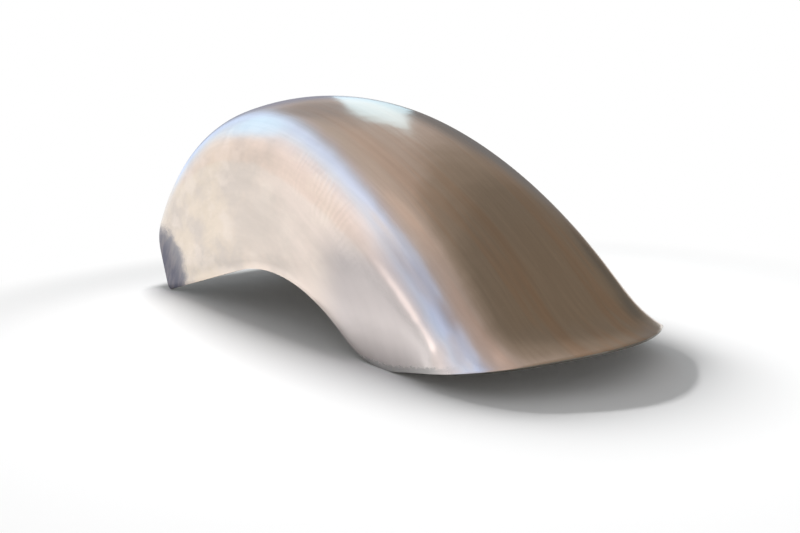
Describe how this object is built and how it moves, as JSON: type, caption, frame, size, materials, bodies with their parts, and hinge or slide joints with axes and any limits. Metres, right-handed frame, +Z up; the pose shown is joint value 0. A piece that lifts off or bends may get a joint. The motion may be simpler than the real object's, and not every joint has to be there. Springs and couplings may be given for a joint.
{
  "type": "motorcycle rear fender",
  "caption": "One-piece bare steel rear fender with a rounded crown, straight side walls with a curved cut-out, and an upswept tail.",
  "frame": {"origin": "on the ground, midway between the front and tail ends of the crown and midway between the side walls, with the fender standing on its lower edges", "axes": "+X towards the tail, +Y towards the motorcycle's right-hand side, +Z up"},
  "size_m": [0.6492, 0.2246, 0.2259],
  "materials": {
    "bare_steel": "bare pressed sheet, lightly brushed, with a satin shine"
  },
  "bodies": {
    "root": {"fender_shell": "bare_steel"}
  },
  "joints": []
}
